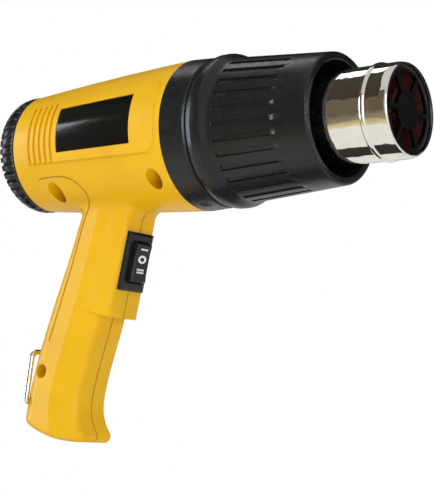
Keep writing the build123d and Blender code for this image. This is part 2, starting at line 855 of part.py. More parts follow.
def heater_former():
    """Star of mica blades on the heater's axis."""
    x0 = heater_rear + base_thickness
    x1 = nozzle_tip - former_front_setback
    radius = mica_bore - former_clearance
    blades = ring(x0, x1, former_thickness)
    for i in range(former_blades // 2):
        blade = Pos((x0 + x1) / 2, 0, 0) * Box(x1 - x0, 2 * radius, former_thickness)
        blades = blades + Rot(X=180 * i / (former_blades // 2)) * blade
    coil_length = coil_turns * coil_pitch
    start = (x0 + x1 - coil_length) / 2
    groove = coil_wire_radius + fixed_clearance
    cuts = ring(start - groove, start + coil_length + groove, radius + overrun, coil_radius - groove)
    return blades - cuts


def heating_coil():
    """Resistance wire wound on the former."""
    x0 = heater_rear + base_thickness
    x1 = nozzle_tip - former_front_setback
    coil_length = coil_turns * coil_pitch
    start = (x0 + x1 - coil_length) / 2
    path = Helix(coil_pitch, coil_length, coil_radius, center=(start, 0, 0), direction=(1, 0, 0))
    wire = RegularPolygon(coil_wire_radius, coil_wire_sides)
    end = Plane(path @ 0, z_dir=path % 0)
    return sweep(end * wire, path=path, is_frenet=True)


def thermal_cutoff():
    """Small thermal fuse clipped on the heater's base."""
    return Pos(heater_rear - cutoff_length / 2, 0, 0) * Rot(Y=90) * Cylinder(cutoff_radius, cutoff_length)


def air_duct():
    """Duct from the fan chamber to the nozzle tube, with ribs that hold the motor."""
    flare_end = duct_flare_rear + duct_flare_length
    front = collar_front - collar_web - flange_thickness - nozzle_tail
    inside = duct_radius - duct_wall
    body = revolved([
        (duct_flare_rear, duct_flare_radius),
        (duct_flare_rear + duct_wall, duct_flare_radius),
        (flare_end + duct_wall / 2, duct_radius),
        (front + duct_overlap, duct_radius),
        (front + duct_overlap, inside),
        (flare_end, inside),
        (duct_flare_rear, duct_flare_radius - duct_wall),
    ])
    grip_radius = motor_radius + fixed_clearance / 2
    for i in range(duct_ribs):
        height = inside - grip_radius + duct_wall / 2
        at = Pos(motor_rear + motor_length / 2, 0, grip_radius + height / 2)
        rib = at * Box(motor_length / 2, duct_rib_width, height)
        body = body + Rot(X=360 * i / duct_ribs) * Rot(X=180 / duct_ribs) * rib
    return body - ring(motor_rear - overrun, motor_rear + motor_length + overrun, grip_radius)


def motor_can():
    """Drawn steel can with the rear bearing boss."""
    front = motor_rear + motor_length - motor_cap_length
    body = ring(motor_rear, front, motor_radius)
    body = body - ring(motor_rear + motor_wall, front + overrun, motor_radius - motor_wall)
    body = body + ring(motor_rear - motor_boss_length, motor_rear + motor_wall, motor_boss_radius)
    hole = shaft_radius + running_clearance
    return body - ring(motor_rear - 2 * motor_boss_length, motor_rear + 2 * motor_wall, hole)


def motor_magnets():
    """Two curved magnets against the can's inside."""
    outside = motor_radius - motor_wall - running_clearance
    x0 = armature_middle - magnet_length / 2
    shell = ring(x0, x0 + magnet_length, outside, outside - magnet_thickness)
    magnets = []
    x1 = x0 + magnet_length + overrun
    for middle in (0, 180):
        window = sector(x0 - overrun, x1, big, middle - magnet_arc / 2, middle + magnet_arc / 2)
        magnets.append((shell & window).solids()[0])
    return magnets


def motor_end_cap():
    """Plastic end cap that carries the brushes and the front bearing."""
    x1 = motor_rear + motor_length
    x0 = x1 - motor_cap_length
    body = ring(x0, x1, motor_radius)
    body = body - ring(x0 - overrun, x0 + motor_cap_length / 2, motor_radius - 2 * motor_wall)
    return body - ring(x0 - overrun, x1 + overrun, shaft_radius + running_clearance)


def motor_shaft():
    """Shaft through the fan and the armature."""
    return ring(shaft_rear, motor_rear + motor_length + shaft_tail, shaft_radius)


def motor_armature():
    """Slotted armature core."""
    x0 = armature_middle - armature_length / 2
    body = ring(x0, x0 + armature_length, armature_radius, shaft_radius)
    for i in range(armature_slots):
        middle = armature_radius + (overrun - armature_slot_depth) / 2
        slot = Box(2 * armature_length, armature_slot_width, armature_slot_depth + overrun)
        body = body - Rot(X=360 * i / armature_slots) * Pos(armature_middle, 0, middle) * slot
    return body


def commutator():
    """Commutator in front of the armature."""
    x0 = armature_middle + armature_length / 2
    return ring(x0, x0 + commutator_length, commutator_radius, shaft_radius)


def fan_impeller():
    """Radial fan wheel: back plate, hub and swept blades."""
    x1 = fan_rear + fan_width
    body = ring(x1 - fan_plate, x1, fan_radius, shaft_radius)
    body = body + ring(fan_rear, x1, fan_hub_radius, shaft_radius)
    sweep_end = radians(fan_blade_sweep)
    bend = radians(fan_blade_sweep * fan_blade_bend_share)
    thick = fan_blade_thickness
    tip_x, tip_y = fan_radius * cos(sweep_end), fan_radius * sin(sweep_end)
    middle_radius = (fan_radius + fan_blade_inner) / 2
    bend_x, bend_y = middle_radius * cos(bend), middle_radius * sin(bend)
    low = ThreePointArc((fan_blade_inner, 0), (bend_x, bend_y), (tip_x, tip_y))
    back = (bend_x - thick / 2, bend_y + thick)
    high = ThreePointArc((tip_x - thick, tip_y), back, (fan_blade_inner, thick))
    tip = Line((tip_x, tip_y), (tip_x - thick, tip_y))
    root = Line((fan_blade_inner, thick), (fan_blade_inner, 0))
    face = make_face([*low.edges(), *tip.edges(), *high.edges(), *root.edges()])
    blade = Pos(X=fan_rear) * extrude(Plane.YZ * face, fan_width - fan_plate / 2)
    return body + [Rot(X=360 * i / fan_blades) * blade for i in range(fan_blades)]


def rectifier_board():
    """Round board with four diodes on the motor's front end."""
    x0 = motor_rear + motor_length + board_standoff
    body = ring(x0, x0 + board_thickness, board_radius, shaft_radius + shaft_tail)
    diode = Rot(X=90) * Cylinder(diode_radius, diode_length)
    seat = Pos(x0 + board_thickness + diode_radius / 2, 0, diode_spread)
    diodes = [Rot(X=360 * i / board_diodes) * seat * diode for i in range(board_diodes)]
    place = Pos(x0 - board_standoff / 2, 0, board_radius - 2 * diode_radius) * Rot(Y=90)
    post = place * Cylinder(diode_radius, board_standoff)
    return body + diodes + [Rot(X=360 * i / board_posts) * post for i in range(board_posts)]


def switch_body():
    """Bezel with its sloped crown, and the body of the rocker switch, in one piece."""
    bezel = Pos(Z=bezel_height / 2) * Box(bezel_width, bezel_length, bezel_height)
    crown = extrude(Rectangle(bezel_width, bezel_length), bezel_crown, taper=bezel_crown_taper)
    body = Pos(Z=-switch_body_depth / 2) * Box(switch_body_width, switch_body_length, switch_body_depth)
    pocket_depth = bezel_face + switch_pocket_depth
    pocket = Pos(Z=bezel_face) * Box(bezel_opening_width, bezel_opening_length, 2 * pocket_depth)
    pin_length = 2 * (rocker_half_width + rocker_pin_length + moving_gap)
    pin = Rot(Y=90) * Cylinder(rocker_pin_radius + running_clearance, pin_length)
    return switch_plane * (bezel + Pos(Z=bezel_height) * crown + body - pocket - pin)


def switch_terminals():
    """Three blade terminals at the back of the switch."""
    blades = []
    for i in (-1, 0, 1):
        at = Pos(0, i * terminal_spread, -switch_body_depth - terminal_length / 2)
        blades.append(switch_plane * at * Box(terminal_width, terminal_thickness, terminal_length))
    return blades


def rocker():
    """Dished three-position rocker with its two pivot pins."""
    low_end = sqrt(rocker_radius ** 2 - rocker_under ** 2)
    high_end = sqrt(rocker_radius ** 2 - rocker_rise ** 2)
    pieces = [
        Line((-low_end, -rocker_under), (low_end, -rocker_under)),
        ThreePointArc((low_end, -rocker_under), (rocker_radius, 0), (high_end, rocker_rise)),
        ThreePointArc((high_end, rocker_rise), (0, rocker_dip), (-high_end, rocker_rise)),
        ThreePointArc((-high_end, rocker_rise), (-rocker_radius, 0), (-low_end, -rocker_under)),
    ]
    edges = [edge for piece in pieces for edge in piece.edges()]
    body = extrude(Plane.YZ * make_face(edges), rocker_half_width, both=True)
    face_edges = body.edges().filter_by(lambda e: abs(e.center().Y) < rocker_edge and e.center().Z > 0)
    body = chamfer(face_edges, rocker_edge)
    pins = Rot(Y=90) * Cylinder(rocker_pin_radius, 2 * (rocker_half_width + rocker_pin_length))
    return switch_plane * (body + pins)


def hanging_bail():
    """Wire bail, folded up against the grip's back, its ends turned into the grip."""
    x0, z0 = bail_pivot
    lean = radians(bail_lean)
    plane = Plane((x0, 0, z0), x_dir=(0, 1, 0), z_dir=(cos(lean), 0, -sin(lean)))
    spread = bail_leg_spread
    points = [
        (-bail_pin_end, 0),
        (-spread, 0),
        (-bail_head_spread, bail_height),
        (bail_head_spread, bail_height),
        (spread, 0),
        (bail_pin_end, 0),
    ]
    radii = [bail_bend, bail_corner, bail_corner, bail_bend]
    path = plane * FilletPolyline(*points, radius=radii)
    end = Plane(path @ 0, z_dir=path % 0)
    return sweep(end * Circle(bail_wire_radius), path=path)


def cord_gland():
    """Flanged bush where the cord enters the heel."""
    body = Pos(Z=gland_flange_height / 2) * Cylinder(gland_flange_radius, gland_flange_height)
    body = body + Pos(Z=-gland_length / 2) * Cylinder(gland_radius, gland_length)
    body = chamfer(body.faces().sort_by(Axis.Z)[-1].edges(), gland_edge)
    body = body - Cylinder(gland_bore_radius, 4 * gland_length)
    return gland_plane * body


def cord_clamp():
    """Clamp bar across two posts, with a saddle for the cord."""
    at = Pos(clamp_x, 0, -clamp_drop)
    bar = Box(clamp_length, clamp_height, clamp_width)
    saddle = Pos(Y=(clamp_height + clamp_saddle_radius) / 2) * Cylinder(clamp_saddle_radius, 2 * clamp_width)
    bar = bar - saddle
    hole = across(clamp_screw_radius + running_clearance, -clamp_height, clamp_height)
    return at * (bar - [Pos(X=side * clamp_screw_spread) * hole for side in (-1, 1)])


def clamp_screws():
    """Two screws of the cord clamp."""
    part = screw(clamp_screw_head_radius, clamp_screw_head_height, clamp_screw_radius, clamp_screw_length)
    screws = []
    for side in (-1, 1):
        at = Pos(clamp_x + side * clamp_screw_spread, -clamp_height / 2, -clamp_drop)
        screws.append(at * Rot(X=90) * part)
    return screws


def save(name, shape):
    """Write one node: a single solid, or a group of separate solids."""
    solids = []
    for item in shape if isinstance(shape, list) else [shape]:
        solids.extend(item.solids())
    node = solids[0] if len(solids) == 1 else Compound(children=solids)
    node.label = name
    export_step(node, "parts/" + name + ".step")


right_half, left_half = halves(housing())
save("housing_right", right_half)
save("housing_left", left_half)
parts = {
    "rating_label": rating_label,
    "housing_screws": housing_screws,
    "rear_cap": rear_cap,
    "front_collar": front_collar,
    "collar_screws": collar_screws,
    "guard_sleeve": guard_sleeve,
    "nozzle_tube": nozzle_tube,
    "nozzle_front_plate": nozzle_front_plate,
    "flange_screws": flange_screws,
    "mica_tube": mica_tube,
    "heater_base": heater_base,
    "heater_former": heater_former,
    "heating_coil": heating_coil,
    "thermal_cutoff": thermal_cutoff,
    "air_duct": air_duct,
    "motor_can": motor_can,
    "motor_magnets": motor_magnets,
    "motor_end_cap": motor_end_cap,
    "motor_shaft": motor_shaft,
    "motor_armature": motor_armature,
    "commutator": commutator,
    "fan_impeller": fan_impeller,
    "rectifier_board": rectifier_board,
    "switch_body": switch_body,
    "switch_terminals": switch_terminals,
    "switch_rocker": rocker,
    "hanging_bail": hanging_bail,
    "cord_gland": cord_gland,
    "cord_clamp": cord_clamp,
    "clamp_screws": clamp_screws,
}
for name, make in parts.items():
    save(name, make())
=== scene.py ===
import json
import math

import bmesh
import bpy
from mathutils import Matrix, Vector


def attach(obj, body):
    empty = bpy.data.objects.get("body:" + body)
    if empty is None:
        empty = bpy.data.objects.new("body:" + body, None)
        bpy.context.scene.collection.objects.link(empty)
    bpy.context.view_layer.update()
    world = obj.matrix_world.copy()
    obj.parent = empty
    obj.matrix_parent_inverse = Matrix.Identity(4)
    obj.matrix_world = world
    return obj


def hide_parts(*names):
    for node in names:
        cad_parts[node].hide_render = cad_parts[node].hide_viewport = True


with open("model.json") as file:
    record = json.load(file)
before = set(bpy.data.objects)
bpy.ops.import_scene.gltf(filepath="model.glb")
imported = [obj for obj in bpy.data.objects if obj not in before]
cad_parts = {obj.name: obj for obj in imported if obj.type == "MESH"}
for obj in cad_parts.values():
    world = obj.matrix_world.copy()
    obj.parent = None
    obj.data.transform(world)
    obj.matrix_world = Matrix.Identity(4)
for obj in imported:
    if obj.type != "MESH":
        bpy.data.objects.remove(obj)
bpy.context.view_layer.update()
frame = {"nodes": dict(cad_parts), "record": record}
nodes = frame["nodes"]

# The tool's lengths are in millimetres, as in the part's source, and are scaled where meshes are made.
MM = 0.001
WELD_DISTANCE = 0.000002

# Camera, fitted to the outlines in the photograph. Angles are in degrees.
CAMERA_AZIMUTH = 36.625
CAMERA_ELEVATION = -7.541
CAMERA_ROLL = -1.356
CAMERA_AT = (601.585, -636.494, -163.613)
CAMERA_FOCAL_PIXELS = 1582.245
PHOTO_HEIGHT = 495
SENSOR = 36.0

# Studio. The floor's level is in millimetres, and everything else of the studio in metres.
FLOOR_Z = -330.0
FLOOR_CLEAR_RADIUS = 1.3
FLOOR_SIZE = 60.0
WORLD_FILL = 0.6

# Sizes of the tool that the pieces below share with the part's source
COLLAR_FRONT = 133.8
SLEEVE = {
    "rear": 134.8,
    "lip_end": 143.0,
    "foot": 148.5,
    "mouth": 201.6,
    "seat_end": 151.8,
    "lip_radius": 39.2,
    "bevel_run": 3.6,
    "bevel_fall": 0.8,
    "foot_radius": 36.6,
    "mouth_radius": 32.6,
    "rim": 1.2,
    "seat_bore": 32.75,
    "mouth_bore": 28.5,
}
CAP_TEETH = 40
CAP_SHOULDER = (11.3, 31.6)
CAP_REAR_RADIUS = 27.6
CAP_GAP_DEPTH = 1.5
CAP_GAP_OVERRUN = 1.0
CAP_GAP_LEVELS = ((0, 0.6), (4.5, 1.35))    # height over the gap's floor, half width there
FLUTES = 30
FLUTE_START = 149.4
FLUTE_END = 184.4
FLUTE_DEPTH = 1.1
NOZZLE = {
    "tip": 239.3,
    "radius": 23.1,
    "wall": 0.9,
    "web": 3.0,
    "flange": 1.2,
    "flange_radius": 30.5,
    "tail": 4.2,
    "bead_end": 11.5,
    "bead_width": 3.0,
    "bead_height": 0.9,
    "lip": 4.6,
    "lip_fall": 1.1,
}
SWITCH_AT = (74.314, 0.0, -63.1)
SWITCH_TILT = 12.2
ROCKER_RISE = 5.5
ROCKER_DIP = 4.9
ROCKER_HALF_LENGTH = 9.53
BAIL_PIVOT = (14.4, 0.0, -136.5)
BAIL_LEAN = 1.6
BAIL_WIRE_RADIUS = 1.5
BAIL_CORNERS = ((-8.0, 0), (-15.0, 0), (-12.0, 26.6), (12.0, 26.6), (15.0, 0), (8.0, 0))
BAIL_BENDS = (0, 2.2, 4.5, 4.5, 2.2, 0)

# Screws: head radius, head height, shank radius, length
HOUSING_SCREW = (3.4, 2.4, 1.75, 16.0)
COLLAR_SCREW = (2.6, 1.6, 1.5, 5.2)
FLANGE_SCREW = (2.5, 1.8, 1.4, 4.2)
CLAMP_SCREW = (2.4, 1.6, 1.3, 9.0)
COLLAR_SCREW_X = 126.8
COLLAR_SCREW_RING = 36.9
COLLAR_SCREW_TURN = 12.3
FLANGE_SCREW_X = 129.6
FLANGE_SCREW_RING = 27.0
FLANGE_SCREW_COUNT = 3
CLAMP_MIDDLE = 29.9
CLAMP_HALF_SPACING = 7.6

# Marks on the rocker. A bar's edge is half length, half width and corner radius, a ring's its half axes.
MARKS_MIDDLE = 2.0
MARK_BAR_EDGES = ((2.8, 0.45, 0.2), (2.4, 0.05, 0.02))
MARK_RING_EDGES = ((3.2, 2.15), (1.6, 1.1))
MARK_LEVELS = (0.06, -0.1)

# Lines of the housing that only its material shows, as (x, z) points
SEAM_HALF_WIDTH = 0.42
PANEL_HALF_WIDTH = 0.7
PANEL_LINE = (
    (29.3, -19.6), (42.4, -19.4), (48.5, -20.2), (53.1, -21.8), (55.6, -23.8),
    (57.2, -26.1), (57.8, -27.7), (57.3, -29.5), (54.3, -32.5), (52.9, -34.4),
    (51.0, -37.6), (49.0, -43.0), (43.0, -63.0), (35.6, -85.6), (29.3, -104.0),
)


def make_camera():
    """Camera at the photograph's viewing angle."""
    azimuth = math.radians(CAMERA_AZIMUTH)
    elevation = math.radians(CAMERA_ELEVATION)
    roll = math.radians(CAMERA_ROLL)
    level = math.cos(elevation)
    back = Vector((math.sin(azimuth) * level, -math.cos(azimuth) * level, math.sin(elevation)))
    right = Vector((math.cos(azimuth), math.sin(azimuth), 0))
    up = back.cross(right)
    right_rolled = right * math.cos(roll) - up * math.sin(roll)
    up_rolled = right * math.sin(roll) + up * math.cos(roll)
    data = bpy.data.cameras.new("photo_camera")
    data.sensor_width = SENSOR
    data.lens = CAMERA_FOCAL_PIXELS * SENSOR / PHOTO_HEIGHT
    data.clip_start = 0.01
    data.clip_end = 200
    camera = bpy.data.objects.new("photo_camera", data)
    bpy.context.scene.collection.objects.link(camera)
    turn = Matrix((right_rolled, up_rolled, back)).transposed()
    camera.matrix_world = Matrix.Translation(Vector(CAMERA_AT) * MM) @ turn.to_4x4()
    bpy.context.scene.camera = camera


# Materials

class Material:
    """Builds a procedural material node by node."""

    def __init__(self, name):
        self.data = bpy.data.materials.new(name)
        self.data.use_nodes = True
        self.tree = self.data.node_tree
        self.shader = self.tree.nodes["Principled BSDF"]
        self.coords = self.add("ShaderNodeTexCoord").outputs["Object"]

    def add(self, kind, **settings):
        node = self.tree.nodes.new(kind)
        for key, value in settings.items():
            setattr(node, key, value)
        return node

    def put(self, value, socket):
        """A plain value is set, and another node's output is linked."""
        if isinstance(value, bpy.types.NodeSocket):
            self.tree.links.new(value, socket)
        else:
            socket.default_value = value

    def set(self, **values):
        for key, value in values.items():
            self.put(value, self.shader.inputs[key.replace("_", " ")])

    def axes(self):
        """The object coordinates' X, Y and Z outputs."""
        split = self.add("ShaderNodeSeparateXYZ")
        self.put(self.coords, split.inputs[0])
        return split.outputs

    def noise(self, scale, detail=3.0, roughness=0.55, coords=None):
        node = self.add("ShaderNodeTexNoise")
        node.inputs["Scale"].default_value = scale
        node.inputs["Detail"].default_value = detail
        node.inputs["Roughness"].default_value = roughness
        self.put(coords or self.coords, node.inputs["Vector"])
        return node.outputs["Fac"]

    def ramp(self, value, stops):
        """Value through colour stops: (position, grey or colour)."""
        node = self.add("ShaderNodeValToRGB")
        elements = node.color_ramp.elements
        while len(elements) < len(stops):
            elements.new(0.5)
        for element, (position, colour) in zip(elements, stops):
            element.position = position
            grey = isinstance(colour, (int, float))
            element.color = (colour, colour, colour, 1) if grey else (*colour, 1)
        self.put(value, node.inputs["Fac"])
        return node.outputs["Color"]

    def math(self, operation, a, b=0.0, clamp=False):
        node = self.add("ShaderNodeMath", operation=operation, use_clamp=clamp)
        self.put(a, node.inputs[0])
        self.put(b, node.inputs[1])
        return node.outputs[0]

    def vector(self, operation, a, b=(0, 0, 0), output="Vector"):
        node = self.add("ShaderNodeVectorMath", operation=operation)
        self.put(a, node.inputs[0])
        self.put(b, node.inputs[1])
        return node.outputs[output]

    def mix(self, factor, a, b):
        node = self.add("ShaderNodeMix", data_type="RGBA")
        self.put(factor, node.inputs["Factor"])
        self.put(a, node.inputs[6])
        self.put(b, node.inputs[7])
        return node.outputs[2]

    def stretched(self, scale):
        node = self.add("ShaderNodeMapping")
        self.put(self.coords, node.inputs["Vector"])
        node.inputs["Scale"].default_value = scale
        return node.outputs["Vector"]

    def bump(self, height, distance, strength=1.0, under=None):
        node = self.add("ShaderNodeBump")
        node.inputs["Distance"].default_value = distance
        node.inputs["Strength"].default_value = strength
        self.put(height, node.inputs["Height"])
        if under is not None:
            self.put(under, node.inputs["Normal"])
        return node.outputs["Normal"]

    def near_line(self, points, half_width):
        """1 on a line of (x, z) points seen along y, falling to 0 at the half width."""
        axes = self.axes()
        flat = self.add("ShaderNodeCombineXYZ")
        self.put(axes["X"], flat.inputs["X"])
        self.put(axes["Z"], flat.inputs["Z"])
        nearest = None
        for (ax, az), (bx, bz) in zip(points, points[1:]):
            run = Vector((bx - ax, 0, bz - az)) * MM
            offset = self.vector("SUBTRACT", flat.outputs[0], (ax * MM, 0, az * MM))
            along = self.vector("DOT_PRODUCT", offset, run, "Value")
            share = self.math("DIVIDE", along, run.length_squared, True)
            reach = self.add("ShaderNodeVectorMath", operation="SCALE")
            reach.inputs[0].default_value = run
            self.put(share, reach.inputs["Scale"])
            gap = self.vector("SUBTRACT", offset, reach.outputs[0])
            distance = self.vector("LENGTH", gap, output="Value")
            nearest = distance if nearest is None else self.math("MINIMUM", nearest, distance)
        return self.math("SUBTRACT", 1.0, self.math("DIVIDE", nearest, half_width * MM, True))


def moulded_plastic(name, light, dark, roughness, grain=1800, lines=False, specular=0.5):
    """Moulded plastic with flow marks, grain and scuffs; lines adds the seam and the side panel's edge,
    dented by a bump and darkened with painted shade.
    """
    m = Material(name)
    m.set(Specular_IOR_Level=specular)
    flow = m.noise(38, 4)
    colour = m.ramp(flow, [(0.35, dark), (0.65, light)])
    low, high = roughness
    m.set(Roughness=m.ramp(m.noise(260, 5, 0.7), [(0.38, high), (0.62, low)]))
    normal = m.bump(m.noise(grain, 2), 0.00004, 0.35)
    normal = m.bump(flow, 0.0004, 0.06, normal)
    if lines:
        seam_gap = m.math("ABSOLUTE", m.axes()["Y"])
        seam = m.math("SUBTRACT", 1.0, m.math("DIVIDE", seam_gap, SEAM_HALF_WIDTH * MM, True))
        panel = m.near_line(PANEL_LINE, PANEL_HALF_WIDTH)
        cut = m.math("MAXIMUM", seam, panel)
        # The seam and the panel line are darkened in colour as painted shade in their grooves, on top of
        # the bump that dents them.
        shade = m.math("MULTIPLY", m.math("MAXIMUM", seam, m.math("MULTIPLY", panel, 0.7)), 0.65)
        colour = m.mix(shade, colour, (dark[0] * 0.35, dark[1] * 0.27, dark[2] * 0.3, 1))
        normal = m.bump(m.math("MULTIPLY", cut, -1.0), 0.0007, 0.9, normal)
    m.set(Base_Color=colour, Normal=normal)
    return m.data


def polished_steel(name, base, tint, roughness):
    """Bright metal with slow waves, faint lengthways drawing marks, smudges and a heat tint."""
    m = Material(name)
    smudge = m.noise(55, 5, 0.6)
    m.set(Base_Color=m.ramp(smudge, [(0.35, tint), (0.7, base)]))
    low, high = roughness
    m.set(Roughness=m.ramp(m.noise(420, 4, 0.65), [(0.3, low), (0.75, high)]))
    m.set(Metallic=1.0)
    waves = m.bump(m.noise(110, 2, 0.5, m.stretched((0.45, 1, 1))), 0.002, 0.2)
    marks = m.noise(900, 3, 0.6, m.stretched((0.05, 1, 1)))
    m.set(Normal=m.bump(marks, 0.00002, 0.12, waves))
    return m.data


def mineral(name, light, dark, roughness, flake=300):
    """Layered mica or ceramic with speckle."""
    m = Material(name)
    speckle = m.noise(flake, 6, 0.7)
    m.set(Base_Color=m.ramp(speckle, [(0.35, dark), (0.62, light)]))
    m.set(Roughness=m.ramp(m.noise(flake * 2, 3), [(0.3, roughness - 0.1), (0.7, roughness + 0.1)]))
    m.set(Normal=m.bump(speckle, 0.0002, 0.3))
    return m.data


def make_materials():
    """Every finish, by the record's slot name, and the white of the switch's marks."""
    plastic = moulded_plastic
    steel = polished_steel
    return {
        "yellow_plastic": plastic(
            "yellow_plastic", (0.82, 0.465, 0.006), (0.78, 0.43, 0.005), (0.30, 0.40),
            lines=True, specular=0.2),
        "black_plastic": plastic(
            "black_plastic", (0.0120, 0.0125, 0.0130), (0.0088, 0.0093, 0.0098), (0.24, 0.34),
            specular=0.36),
        "label_black": plastic(
            "label_black", (0.0045, 0.0045, 0.0048), (0.0030, 0.0030, 0.0032), (0.07, 0.12),
            grain=900, specular=0.4),
        "steel_chrome": steel("steel_chrome", (0.95, 0.93, 0.88), (0.86, 0.82, 0.74), (0.03, 0.09)),
        "plate_black": steel("plate_black", (0.045, 0.047, 0.05), (0.028, 0.03, 0.032), (0.28, 0.45)),
        "mica": mineral("mica", (0.15, 0.040, 0.032), (0.06, 0.015, 0.013), 0.4),
        "heater_ceramic": mineral("heater_ceramic", (0.75, 0.72, 0.66), (0.6, 0.57, 0.5), 0.7),
        "resistance_wire": steel("resistance_wire", (0.36, 0.33, 0.31), (0.2, 0.17, 0.15), (0.3, 0.5)),
        "zinc_steel": steel("zinc_steel", (0.62, 0.62, 0.63), (0.5, 0.5, 0.52), (0.2, 0.35)),
        "black_screw": steel("black_screw", (0.05, 0.05, 0.054), (0.03, 0.03, 0.033), (0.25, 0.4)),
        "duct_plastic": plastic("duct_plastic", (0.06, 0.06, 0.065), (0.045, 0.045, 0.05), (0.4, 0.5)),
        "motor_steel": steel("motor_steel", (0.5, 0.5, 0.52), (0.4, 0.4, 0.42), (0.25, 0.4)),
        "magnet": mineral("magnet", (0.07, 0.07, 0.075), (0.045, 0.045, 0.05), 0.6),
        "copper": steel("copper", (0.78, 0.40, 0.22), (0.6, 0.28, 0.14), (0.15, 0.3)),
        "board": plastic("board", (0.45, 0.30, 0.12), (0.36, 0.23, 0.09), (0.5, 0.6)),
        "brass_blade": steel("brass_blade", (0.78, 0.62, 0.32), (0.66, 0.5, 0.24), (0.2, 0.3)),
        "fan_plastic": plastic("fan_plastic", (0.72, 0.72, 0.70), (0.64, 0.64, 0.62), (0.35, 0.45)),
        "mark_white": plastic("mark_white", (0.86, 0.86, 0.86), (0.78, 0.78, 0.78), (0.4, 0.5)),
    }


def dress_cad_nodes():
    """Every CAD node takes the material of its slot."""
    for part in frame["record"]["subparts"]:
        mesh = nodes[part["node"]].data
        mesh.materials.clear()
        mesh.materials.append(materials[part["material_slot"]])


# Pieces

def clean(mesh, sharp_angle=32):
    """Weld the seams, turn the faces out and shade smoothly but for sharp edges."""
    form = bmesh.new()
    form.from_mesh(mesh)
    bmesh.ops.remove_doubles(form, verts=form.verts, dist=WELD_DISTANCE)
    bmesh.ops.recalc_face_normals(form, faces=form.faces)
    form.to_mesh(mesh)
    form.free()
    mesh.shade_smooth()
    mesh.set_sharp_from_angle(angle=math.radians(sharp_angle))


def mesh_object(name, verts, faces, material):
    """Piece from millimetre points and faces."""
    mesh = bpy.data.meshes.new(name)
    mesh.from_pydata([Vector(v) * MM for v in verts], [], faces)
    piece = bpy.data.objects.new(name, mesh)
    bpy.context.scene.collection.objects.link(piece)
    mesh.materials.append(materials[material])
    clean(mesh)
    return piece


def stand_for(piece, body, node):
    """The piece rides on a body and takes a CAD node's place."""
    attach(piece, body)
    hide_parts(node)


def arc(centre, radius, start, end, steps):
    """Points of a circular arc between two angles in degrees."""
    points = []
    for i in range(steps + 1):
        turn = math.radians(start + (end - start) * i / steps)
        points.append((centre[0] + radius * math.cos(turn), centre[1] + radius * math.sin(turn)))
    return points


def flat_arc(start, end, height, steps):
    """Points of the arc between two ends at one level, raised by a height in its middle."""
    half = (end[0] - start[0]) / 2
    radius = (half * half + height * height) / (2 * height)
    spread = math.degrees(math.asin(half / radius))
    return arc((start[0] + half, start[1] + height - radius), radius, 90 + spread, 90 - spread, steps)


def lathe(name, profile, steps, material):
    """Closed outline of (x, radius) turned about the barrel axis."""
    count = len(profile)
    verts = []
    faces = []
    for j in range(steps):
        turn = 2 * math.pi * j / steps
        verts.extend((x, radius * math.cos(turn), radius * math.sin(turn)) for x, radius in profile)
        here, there = j * count, (j + 1) % steps * count
        for i in range(count):
            after = (i + 1) % count
            faces.append((here + i, here + after, there + after, there + i))
    return mesh_object(name, verts, faces, material)


class Tree:
    """Geometry Nodes tree with named inputs, run once on a piece and kept as a plain mesh."""

    def __init__(self, name, inputs):
        self.tree = bpy.data.node_groups.new(name, "GeometryNodeTree")
        for label, kind in inputs.items():
            self.tree.interface.new_socket(label, in_out="INPUT", socket_type="NodeSocket" + kind)
        self.tree.interface.new_socket("Geometry", in_out="OUTPUT", socket_type="NodeSocketGeometry")
        self.given = self.add("NodeGroupInput").outputs

    def add(self, kind, inputs=None, **settings):
        """New node with its settings, and its inputs set or linked by name or index."""
        node = self.tree.nodes.new(kind)
        for key, value in settings.items():
            setattr(node, key, value)
        for key, value in (inputs or {}).items():
            if isinstance(value, bpy.types.NodeSocket):
                self.tree.links.new(value, node.inputs[key])
            else:
                node.inputs[key].default_value = value
        return node

    def ring(self, instance):
        """As many copies of an instance as the input Count says, made real round the barrel axis."""
        count = self.given["Count"]
        line = self.add("GeometryNodeMeshLine", {"Count": count, "Offset": (0, 0, 0)})
        index = self.add("GeometryNodeInputIndex")
        share = self.add("ShaderNodeMath", {0: index.outputs[0], 1: count}, operation="DIVIDE")
        turn = self.add("ShaderNodeMath", {0: share.outputs[0], 1: 2 * math.pi}, operation="MULTIPLY")
        angles = self.add("ShaderNodeCombineXYZ", {"X": turn.outputs[0]})
        copies = self.add("GeometryNodeInstanceOnPoints", {
            "Points": line.outputs[0], "Instance": instance, "Rotation": angles.outputs[0]})
        return self.add("GeometryNodeRealizeInstances", {0: copies.outputs[0]}).outputs[0]

    def end(self, geometry):
        """Copies made real and painted, as the tree's result."""
        real = self.add("GeometryNodeRealizeInstances", {0: geometry})
        paint = self.add("GeometryNodeSetMaterial", {
            "Geometry": real.outputs[0], "Material": self.given["Material"]})
        self.add("NodeGroupOutput", {0: paint.outputs[0]})

    def grow(self, piece, values):
        """Runs the tree on a piece and keeps the result as the piece's plain mesh."""
        items = self.tree.interface.items_tree
        sockets = {item.name: item.identifier for item in items if item.in_out == "INPUT"}
        modifier = piece.modifiers.new("grow", "NODES")
        modifier.node_group = self.tree
        for label, value in values.items():
            modifier[sockets[label]] = value
        bpy.context.view_layer.update()
        evaluated = piece.evaluated_get(bpy.context.evaluated_depsgraph_get())
        mesh = bpy.data.meshes.new_from_object(evaluated)
        piece.modifiers.remove(modifier)
        piece.data = mesh
        clean(mesh)


def repeat_round_barrel():
    """Tree that sets a sector's copies side by side round the barrel axis."""
    t = Tree("repeat_round_barrel", {
        "Geometry": "Geometry", "Count": "Int", "Weld": "Float", "Material": "Material"})
    sectors = t.ring(t.given["Geometry"])
    weld = t.add("GeometryNodeMergeByDistance", {"Geometry": sectors, "Distance": t.given["Weld"]})
    t.end(weld.outputs[0])
    return t


